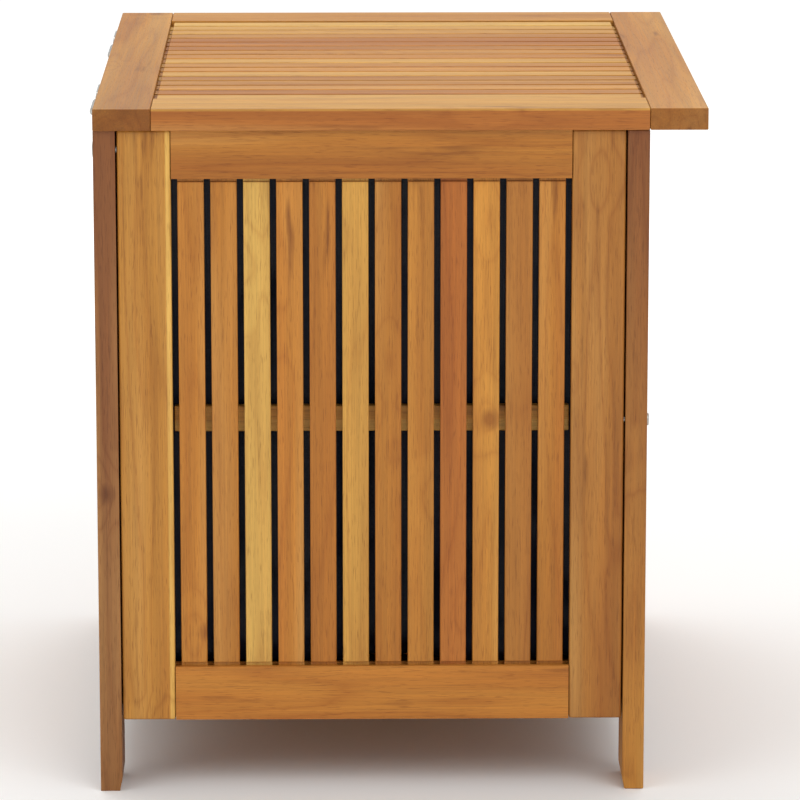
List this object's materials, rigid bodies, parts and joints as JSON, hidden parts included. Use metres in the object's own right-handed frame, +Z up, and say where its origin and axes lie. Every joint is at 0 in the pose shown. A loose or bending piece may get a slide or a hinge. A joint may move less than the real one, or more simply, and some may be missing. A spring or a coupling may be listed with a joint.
{
  "type": "deck storage box",
  "caption": "Slatted hardwood deck box on four legs, with an overhanging slatted lid hinged at the rear and a dark fabric liner bag hung inside.",
  "frame": {"origin": "on the ground, under the middle of the whole box, hinge knuckles included", "axes": "+X along the length, with the left end at -X seen from the front; -Y to the front, where the lid overhangs; +Y to the rear, where the hinges are; +Z up"},
  "size_m": [0.6, 0.5072, 0.575],
  "materials": {
    "frame_wood": "oiled acacia, reddish brown, light satin",
    "slat_wood": "oiled acacia, golden brown with paler and darker boards",
    "lid_wood": "oiled acacia, golden brown, light satin",
    "floor_wood": "plain sawn acacia",
    "zinc_steel": "zinc-plated steel, dull",
    "liner_fabric": "coated woven polyester, near black with a blue cast"
  },
  "bodies": {
    "body": {"floor_grille": "floor_wood", "front_bottom_rail": "frame_wood", "front_cleat": "floor_wood", "front_grille": "slat_wood", "front_left_bolt": "zinc_steel", "front_left_leg": "frame_wood", "front_right_bolt": "zinc_steel", "front_right_leg": "frame_wood", "front_top_rail": "frame_wood", "left_bottom_rail": "frame_wood", "left_front_stile": "frame_wood", "left_grille": "slat_wood", "left_hinge_body_leaf": "zinc_steel", "left_hinge_pin": "zinc_steel", "left_rear_stile": "frame_wood", "left_top_rail": "frame_wood", "liner_bag": "liner_fabric", "rear_bottom_rail": "frame_wood", "rear_cleat": "floor_wood", "rear_grille": "slat_wood", "rear_left_bolt": "zinc_steel", "rear_left_leg": "frame_wood", "rear_right_bolt": "zinc_steel", "rear_right_leg": "frame_wood", "rear_top_rail": "frame_wood", "right_bottom_rail": "frame_wood", "right_front_stile": "frame_wood", "right_grille": "slat_wood", "right_hinge_body_leaf": "zinc_steel", "right_hinge_pin": "zinc_steel", "right_rear_stile": "frame_wood", "right_top_rail": "frame_wood"},
    "lid": {"left_hinge_lid_leaf": "zinc_steel", "lid_front_batten": "lid_wood", "lid_front_rail": "lid_wood", "lid_left_rail": "lid_wood", "lid_rear_batten": "lid_wood", "lid_rear_rail": "lid_wood", "lid_right_rail": "lid_wood", "lid_slat_01": "lid_wood", "lid_slat_02": "lid_wood", "lid_slat_03": "lid_wood", "lid_slat_04": "lid_wood", "lid_slat_05": "lid_wood", "lid_slat_06": "lid_wood", "lid_slat_07": "lid_wood", "lid_slat_08": "lid_wood", "lid_slat_09": "lid_wood", "lid_slat_10": "lid_wood", "lid_slat_11": "lid_wood", "lid_slat_12": "lid_wood", "lid_slat_13": "lid_wood", "lid_slat_14": "lid_wood", "lid_slat_15": "lid_wood", "lid_slat_16": "lid_wood", "lid_slat_17": "lid_wood", "lid_slat_18": "lid_wood", "right_hinge_lid_leaf": "zinc_steel"}
  },
  "joints": [
    {"name": "lid_hinge", "type": "hinge", "parent": "body", "child": "lid", "pos_m": [0, 0.2502, 0.557], "axis": [-1, 0, 0], "range_deg": [0, 95]}
  ]
}
